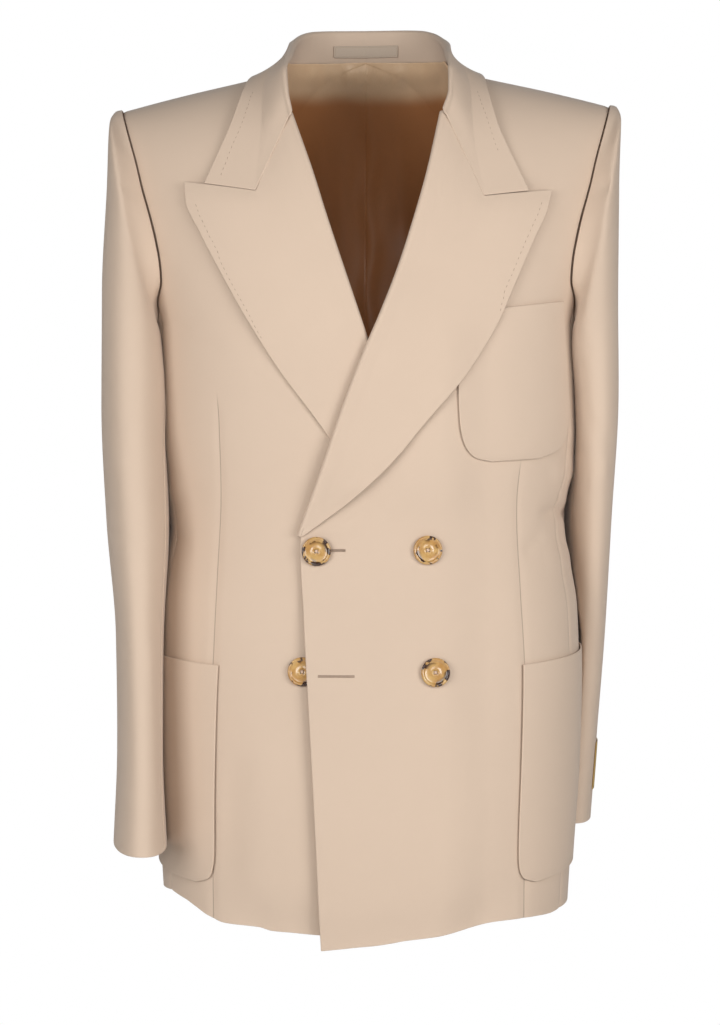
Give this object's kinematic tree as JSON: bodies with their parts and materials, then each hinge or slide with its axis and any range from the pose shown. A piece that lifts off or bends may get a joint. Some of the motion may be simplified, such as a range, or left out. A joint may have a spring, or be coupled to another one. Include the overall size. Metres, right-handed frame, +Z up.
{
  "type": "double breasted blazer",
  "caption": "Hip-length double breasted blazer with wide peak lapels, round buttons, a chest patch pocket and large patch hip pockets, worn hollow, as clothing for the upper body",
  "frame": {"origin": "between the wearer's shoulders, at the height of the shoulder seam beside the neck", "axes": "+X towards the wearer's left, -Y the way the wearer faces, +Z up"},
  "size_m": [0.4542, 0.309, 0.7974],
  "materials": {
    "wool": "smooth matte wool gabardine",
    "satin": "satin lining",
    "ribbon": "plain woven ribbon",
    "gold_ribbon": "plain woven ribbon",
    "horn": "polished horn-look resin"
  },
  "bodies": {
    "root": {"back_left": "wool", "back_right": "wool", "button_lower_left": "horn", "button_lower_right": "horn", "button_upper_left": "horn", "button_upper_right": "horn", "collar": "wool", "front_left": "wool", "front_right": "wool", "label_cuff": "gold_ribbon", "label_neck": "ribbon", "lapel_left": "wool", "lapel_right": "wool", "lining_left": "satin", "lining_right": "satin", "pocket_chest": "wool", "pocket_hip_left": "wool", "pocket_hip_right": "wool", "side_left": "wool", "side_right": "wool", "top_sleeve_left": "wool", "top_sleeve_right": "wool", "under_sleeve_left": "wool", "under_sleeve_right": "wool"}
  },
  "joints": []
}
